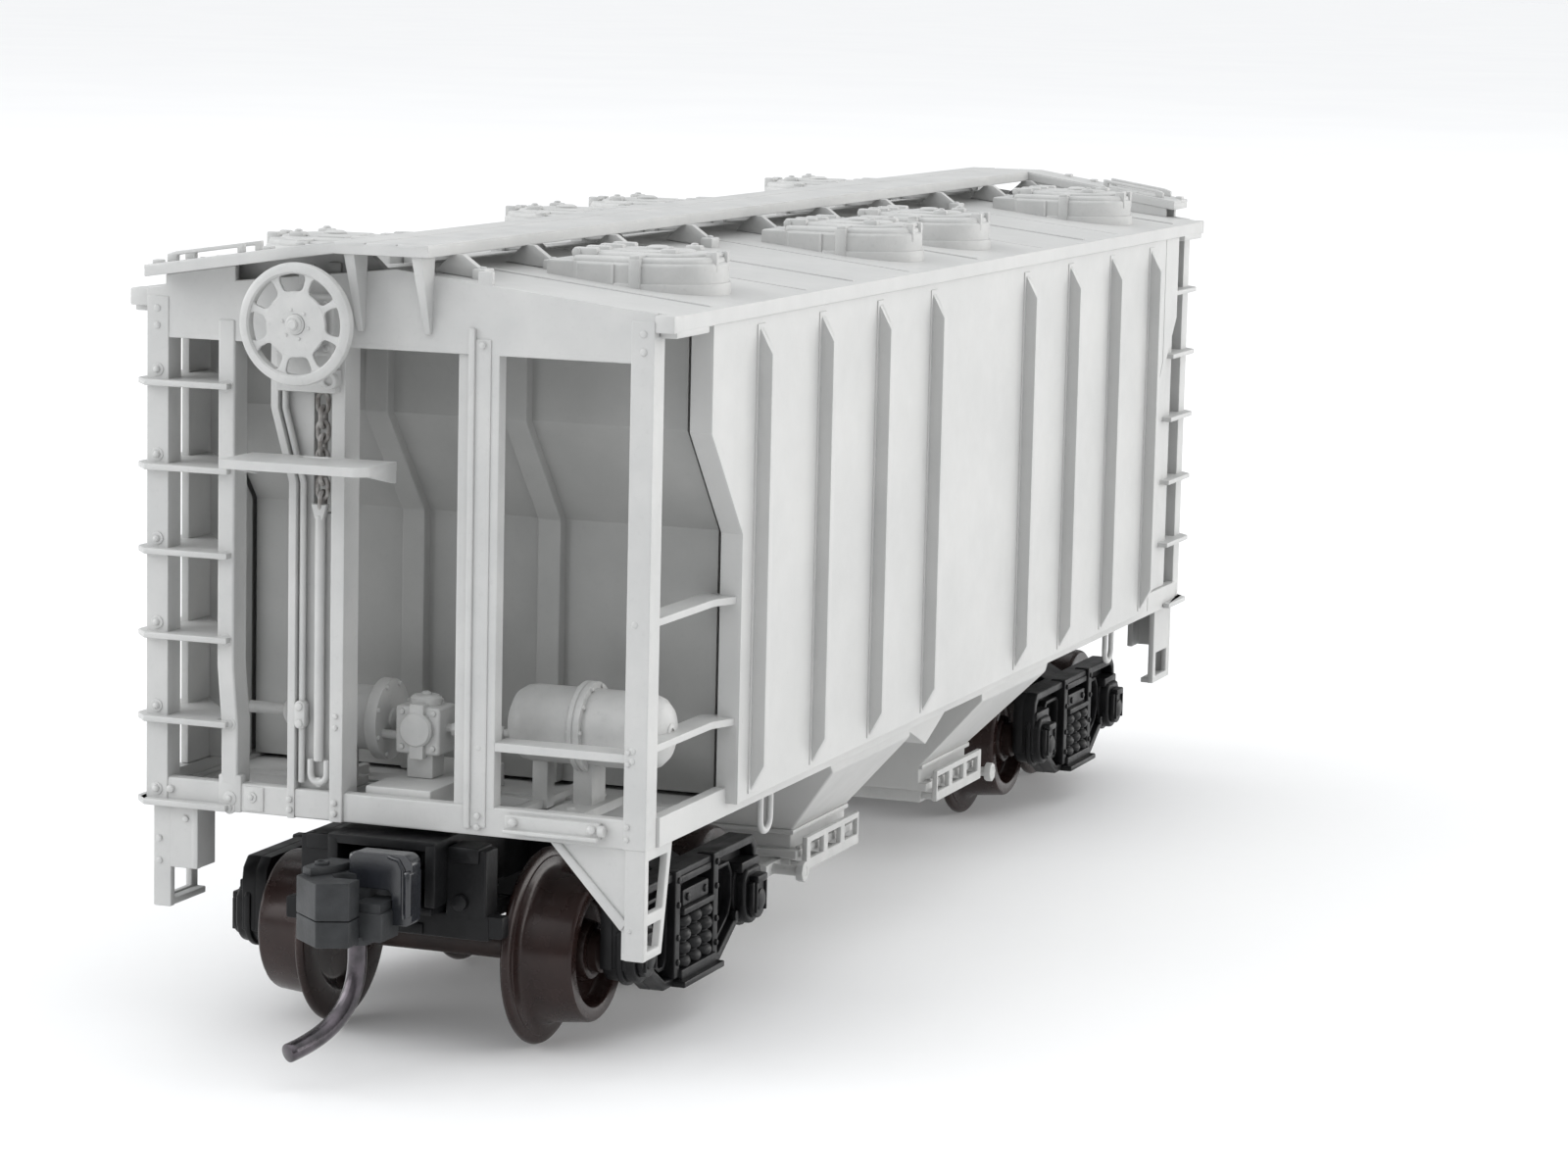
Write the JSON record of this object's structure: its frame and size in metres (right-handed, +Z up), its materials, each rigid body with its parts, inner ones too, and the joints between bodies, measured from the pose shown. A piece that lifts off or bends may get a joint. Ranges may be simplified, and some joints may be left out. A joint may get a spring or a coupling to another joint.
{
  "type": "model hopper car",
  "caption": "Covered hopper car for a model railway, with open end cages, roof hatches, swivelling trucks and sprung couplers.",
  "frame": {"origin": "under the middle of the car, on the plane that the wheel flanges stand on", "axes": "+X along the car towards the end without the brake wheel, +Z up"},
  "size_m": [0.079, 0.0212, 0.0283],
  "materials": {
    "grey_plastic": "satin light grey paint",
    "black_plastic": "satin black moulded plastic",
    "coupler_plastic": "matte dark grey plastic",
    "wheel_metal": "dark brown chemical finish",
    "axle_plastic": "dark brown satin plastic",
    "pin_steel": "glossy dark bronze steel",
    "steel": "plain steel"
  },
  "bodies": {
    "car_body": {"roof": "grey_plastic", "side_right": "grey_plastic", "side_left": "grey_plastic", "end_frame_b": "grey_plastic", "end_frame_a": "grey_plastic", "bulkhead_b": "grey_plastic", "bulkhead_a": "grey_plastic", "underframe": "grey_plastic", "hopper_bay_a": "grey_plastic", "hopper_bay_b": "grey_plastic", "outlet_gate_a": "grey_plastic", "outlet_gate_b": "grey_plastic", "running_board": "grey_plastic", "board_supports": "grey_plastic", "hatches_right": "grey_plastic", "hatches_left": "grey_plastic", "corner_ladders": "grey_plastic", "grab_irons": "grey_plastic", "stirrup_steps": "grey_plastic", "uncoupling_bars": "grey_plastic", "roping_loops": "grey_plastic", "brake_box": "grey_plastic", "brake_chain": "grey_plastic", "brake_rod": "grey_plastic", "brake_step": "grey_plastic", "air_reservoir": "grey_plastic", "control_valve": "grey_plastic", "brake_cylinder": "grey_plastic", "air_pipes": "grey_plastic", "steel_weight": "steel", "bolster_pin_b": "black_plastic", "bolster_pin_a": "black_plastic"},
    "brake_wheel": {"brake_wheel": "grey_plastic"},
    "truck_b": {"truck_frame_b": "black_plastic", "pocket_lid_b": "black_plastic", "coupler_spring_b": "steel"},
    "outer_wheelset_b": {"outer_wheels_b": "wheel_metal", "outer_axle_b": "axle_plastic"},
    "inner_wheelset_b": {"inner_wheels_b": "wheel_metal", "inner_axle_b": "axle_plastic"},
    "coupler_b": {"coupler_upper_b": "coupler_plastic"},
    "coupler_jaw_b": {"coupler_lower_b": "coupler_plastic", "trip_pin_b": "pin_steel"},
    "truck_a": {"truck_frame_a": "black_plastic", "pocket_lid_a": "black_plastic", "coupler_spring_a": "steel"},
    "outer_wheelset_a": {"outer_wheels_a": "wheel_metal", "outer_axle_a": "axle_plastic"},
    "inner_wheelset_a": {"inner_wheels_a": "wheel_metal", "inner_axle_a": "axle_plastic"},
    "coupler_a": {"coupler_upper_a": "coupler_plastic"},
    "coupler_jaw_a": {"coupler_lower_a": "coupler_plastic", "trip_pin_a": "pin_steel"}
  },
  "joints": [
    {"name": "brake_wheel_turn", "type": "hinge", "parent": "car_body", "child": "brake_wheel", "pos_m": [-0.0351, 0.0029, 0.0255], "axis": [-1, 0, 0], "continuous": true},
    {"name": "truck_swivel_b", "type": "hinge", "parent": "car_body", "child": "truck_b", "pos_m": [-0.0237, 0, 0.00798], "axis": [0, 0, 1], "range_deg": [-12, 12]},
    {"name": "outer_axle_roll_b", "type": "hinge", "parent": "truck_b", "child": "outer_wheelset_b", "pos_m": [-0.0291, 0, 0.0035], "axis": [0, 1, 0], "continuous": true},
    {"name": "inner_axle_roll_b", "type": "hinge", "parent": "truck_b", "child": "inner_wheelset_b", "pos_m": [-0.0183, 0, 0.0035], "axis": [0, 1, 0], "continuous": true},
    {"name": "coupler_swing_b", "type": "hinge", "parent": "truck_b", "child": "coupler_b", "pos_m": [-0.0311, 0, 0.007], "axis": [0, 0, 1], "range_deg": [-7, 7], "stiffness_Nm_per_rad": 0.00002},
    {"name": "coupler_open_b", "type": "hinge", "parent": "coupler_b", "child": "coupler_jaw_b", "pos_m": [-0.0311, 0, 0.006], "axis": [0, 0, -1], "range_deg": [0, 7], "stiffness_Nm_per_rad": 0.00002},
    {"name": "truck_swivel_a", "type": "hinge", "parent": "car_body", "child": "truck_a", "pos_m": [0.0237, 0, 0.00798], "axis": [0, 0, 1], "range_deg": [-12, 12]},
    {"name": "outer_axle_roll_a", "type": "hinge", "parent": "truck_a", "child": "outer_wheelset_a", "pos_m": [0.0291, 0, 0.0035], "axis": [0, 1, 0], "continuous": true},
    {"name": "inner_axle_roll_a", "type": "hinge", "parent": "truck_a", "child": "inner_wheelset_a", "pos_m": [0.0183, 0, 0.0035], "axis": [0, 1, 0], "continuous": true},
    {"name": "coupler_swing_a", "type": "hinge", "parent": "truck_a", "child": "coupler_a", "pos_m": [0.0311, 0, 0.007], "axis": [0, 0, 1], "range_deg": [-7, 7], "stiffness_Nm_per_rad": 0.00002},
    {"name": "coupler_open_a", "type": "hinge", "parent": "coupler_a", "child": "coupler_jaw_a", "pos_m": [0.0311, 0, 0.006], "axis": [0, 0, -1], "range_deg": [0, 7], "stiffness_Nm_per_rad": 0.00002}
  ]
}
